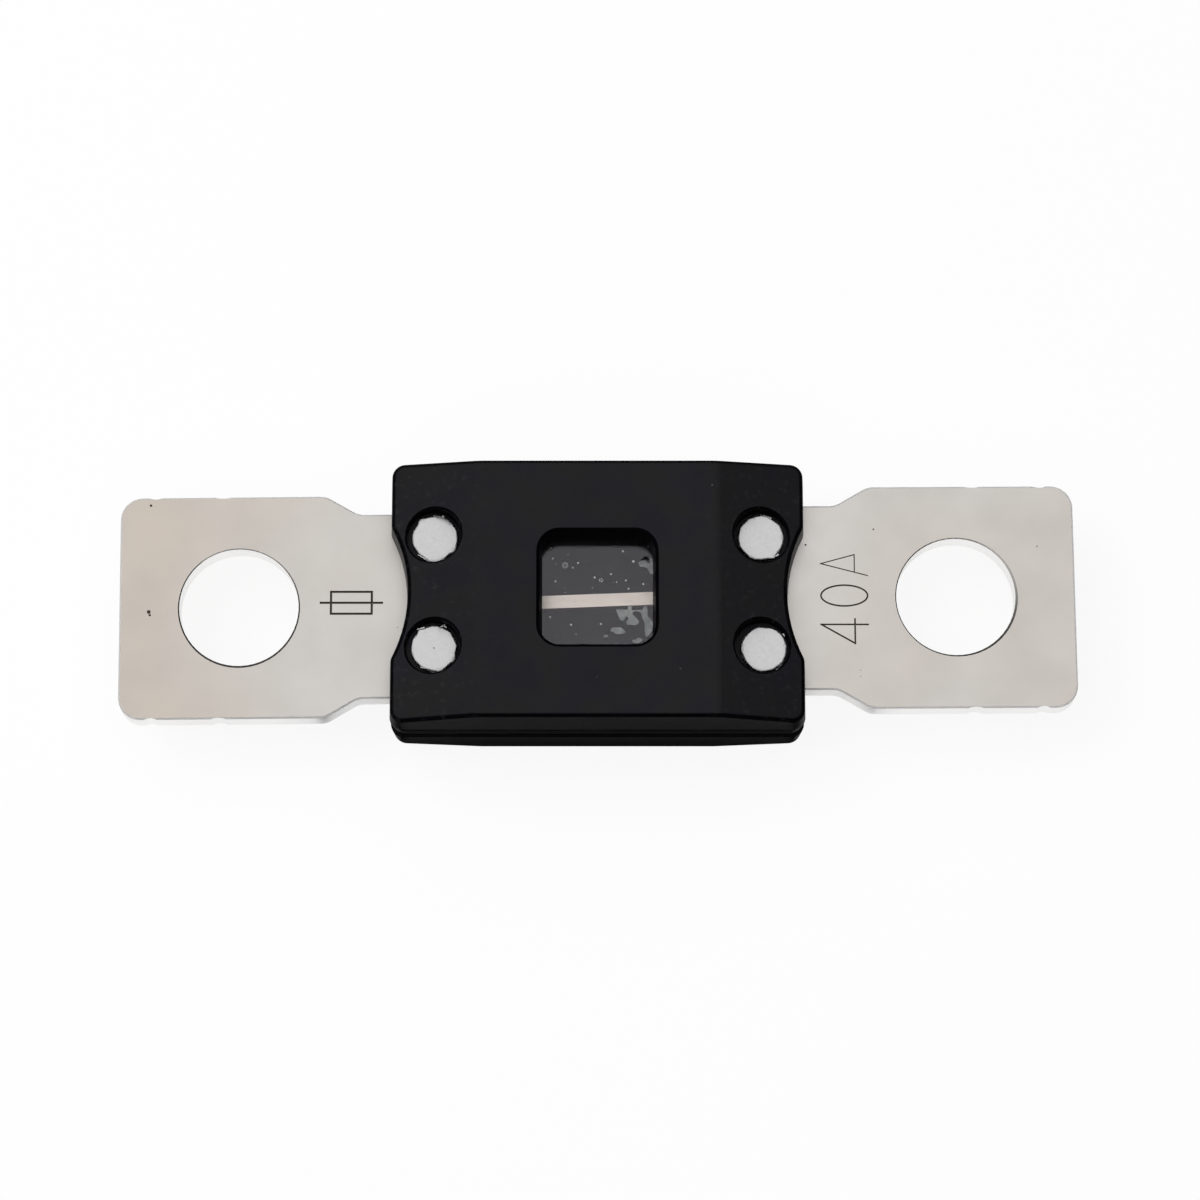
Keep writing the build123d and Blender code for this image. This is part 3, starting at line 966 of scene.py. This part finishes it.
def ground_to(distance, table):
    """Where a vertex near the joint ends up, from its distance to the middle plane in mm."""
    for (old_a, new_a), (old_b, new_b) in zip(table, table[1:]):
        if old_a < distance <= old_b + 0.01:
            return new_a + (distance - old_a) * (new_b - new_a) / (old_b - old_a)
    return distance


def grind_shell(node):
    """A shell, ground back near the joint, in the place of its CAD node."""
    bm = bmesh.new()
    bm.from_mesh(nodes[node].data)
    for v in bm.verts:
        if abs(v.co.z) < near_joint:
            v.co.y = math.copysign(ground_to(abs(v.co.y) / mm, ground_back[node]) * mm, v.co.y)
    piece = finish_piece(bm, "moulded_" + node, nylon, keep_normals=True)
    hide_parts(node)
    return piece


shells = [grind_shell(node) for node in ground_back]
pane_slots = nodes["window_pane"].data.materials
pane_slots.clear()
pane_slots.append(clear)
print("shells:", [shell.name for shell in shells])

# %% [markdown]
# The camera stands where the photograph was taken: about 30 centimetres away, 13 degrees
# off the vertical to the front, with a long lens. The angle, distance and lens were fitted
# to the bolt holes and the edges of the housing. The tiny shift puts the fuse at its place
# in the frame.

# %% Camera
camera_data = bpy.data.cameras.new("camera")
camera_data.lens = 127.9
camera_data.sensor_width = 36.0
camera_data.shift_x = 0.0021
camera_data.shift_y = 0.0039
camera_data.clip_start = 0.01
camera = linked("camera", camera_data)
lean = math.radians(13.37)
distance = 0.3042
camera.location = (0, -distance * math.sin(lean), distance * math.cos(lean))
camera.rotation_euler = (lean, 0, 0)
bpy.context.scene.camera = camera
print("camera at", [round(c, 4) for c in camera.location])

# %% [markdown]
# The studio is a white room. The fuse lies on a table that glows white where the camera, a mirror or
# glass sees it, and is matte white to all other light. A tenth of the matte white is always there,
# and takes the shadow.

# %% Table
def white_table():
    material, add, shader, _ = new_material("white_table")
    fill(shader, {"Base Color": "#F2F2F2", "Roughness": 0.9, "Specular IOR Level": 0})
    ray = add("LightPath", take=None)
    seen = add("Math", (ray["Is Camera Ray"], ray["Is Glossy Ray"]), operation="MAXIMUM")
    seen = add("Math", (seen, ray["Is Transmission Ray"]), operation="MAXIMUM")
    share = add("Math", (seen, 0.9), operation="MULTIPLY")
    glow = add("Emission", ("#FFFFFF", 1))
    both = add("MixShader", (share, shader.outputs["BSDF"], glow))
    output = next(n for n in material.node_tree.nodes if n.type == "OUTPUT_MATERIAL")
    fill(output, {"Surface": both})
    return material


def matte_card(name, shade):
    material, _, shader, _ = new_material(name)
    fill(shader, {"Base Color": shade, "Roughness": 1})
    return material


def stage_object(bm, name, material):
    """Links a stage object with its finish."""
    thing = linked(name, mesh_of(bm, name))
    thing.data.materials.append(material)
    return thing


def sheet(size):
    """A flat square, this far to each side of the middle."""
    bm = bmesh.new()
    bmesh.ops.create_grid(bm, x_segments=1, y_segments=1, size=size)
    return bm


floor_bm = sheet(4.0)
bmesh.ops.translate(floor_bm, verts=floor_bm.verts, vec=(0, 0, cad_low.z))
floor = stage_object(floor_bm, "floor", white_table())
print("made", floor.name)

# %% [markdown]
# Bright metal in an all-white room has no edges, so a photographer stands cards round it.
# Here they are a low dark ring, black cards in front and to the right, and grey and black
# ones that lie on the table. The camera sees none of them. The lying ones show in mirror
# images only, where they give the front walls and their corners the tones of the photo.

# %% Cards
ring_r, ring_low, ring_high = 0.5, 0.02, 0.30
ring_bm = bmesh.new()
bmesh.ops.create_cone(ring_bm, cap_ends=False, segments=64, radius1=ring_r, radius2=ring_r,
                      depth=ring_high - ring_low)
bmesh.ops.translate(ring_bm, verts=ring_bm.verts, vec=(0, 0, (ring_low + ring_high) / 2))
ring = stage_object(ring_bm, "dark_ring", matte_card("black_card", "#202020"))
ring.visible_camera = False


def standing_card(name, turn, away, low, high, half_w):
    """A black card on edge, facing the fuse from a direction, all but the turn in metres."""
    bm = sheet(1.0)
    on_edge = Matrix.Rotation(math.radians(90), 4, "X")
    size = Matrix.Diagonal((half_w, 1, (high - low) / 2, 1))
    move = Matrix.Translation((0, away, (low + high) / 2))
    spin = Matrix.Rotation(math.radians(turn), 4, "Z")
    bmesh.ops.transform(bm, verts=bm.verts, matrix=spin @ move @ size @ on_edge)
    card = stage_object(bm, name, matte_card(name, "#161616"))
    card.visible_camera = False
    card.visible_shadow = False
    return card


def lying_card(name, shade, middle, half_x, half_y, height):
    """A card that only mirror images show, this high over the table, in millimetres."""
    bm = sheet(1.0)
    bmesh.ops.scale(bm, verts=bm.verts, vec=(half_x * mm, half_y * mm, 1))
    lift = Vector((0, 0, cad_low.z + height * mm))
    bmesh.ops.translate(bm, verts=bm.verts, vec=Vector((*middle, 0)) * mm + lift)
    card = stage_object(bm, name, matte_card(name, shade))
    for ray in ("camera", "diffuse", "transmission", "shadow"):
        setattr(card, "visible_" + ray, False)
    return card


cards = [
    standing_card("front_card", turn=180, away=0.30, low=0.02, high=0.26, half_w=0.6),
    standing_card("right_card", turn=-90, away=0.36, low=0.02, high=0.50, half_w=0.6),
    # The lying cards are painted shade: sheets that only mirror images see, standing in for the
    # table's shade round the fuse.
    lying_card("wall_card", "#727272", (0, 0), half_x=14.6, half_y=75, height=0.03),
    lying_card("foot_card", "#484848", (0, 0), half_x=14.6, half_y=11, height=0.06),
    lying_card("corner_card_left", "#3C3C3C", (-17.3, -41.2), 2.7, 31, 0.05),
    lying_card("corner_card_right", "#3C3C3C", (17.3, -41.2), 2.7, 31, 0.05),
    lying_card("front_floor_card", "#161616", (0, -200), half_x=300, half_y=120, height=0.04)]
print("cards:", [card.name for card in [ring, *cards]])

# %% [markdown]
# The room's white comes from the world at strength 1, so that a mirror turned to it shows
# plain white. A broad soft lamp overhead, to the left and a little behind, lights rough
# surfaces and gives the shadow its direction. Neither mirrors nor the camera show it.

# %% Light
world = bpy.data.worlds.new("studio")
world.use_nodes = True
bpy.context.scene.world = world
fill(world.node_tree.nodes["Background"], {"Color": "#FFFFFF", "Strength": 1})

lamp_data = bpy.data.lights.new("overhead", "AREA")
lamp_data.shape = "RECTANGLE"
lamp_data.size = 0.5
lamp_data.size_y = 0.5
lamp_data.energy = 2.5
lamp = linked("overhead", lamp_data)
lamp.location = (-0.35, 0.15, 0.55)
lamp.rotation_euler = (-Vector(lamp.location)).to_track_quat("-Z", "Y").to_euler()
lamp.visible_camera = False
lamp.visible_glossy = False

bpy.context.scene.view_settings.view_transform = "Standard"
print("lit by", world.name, "and", lamp.name)
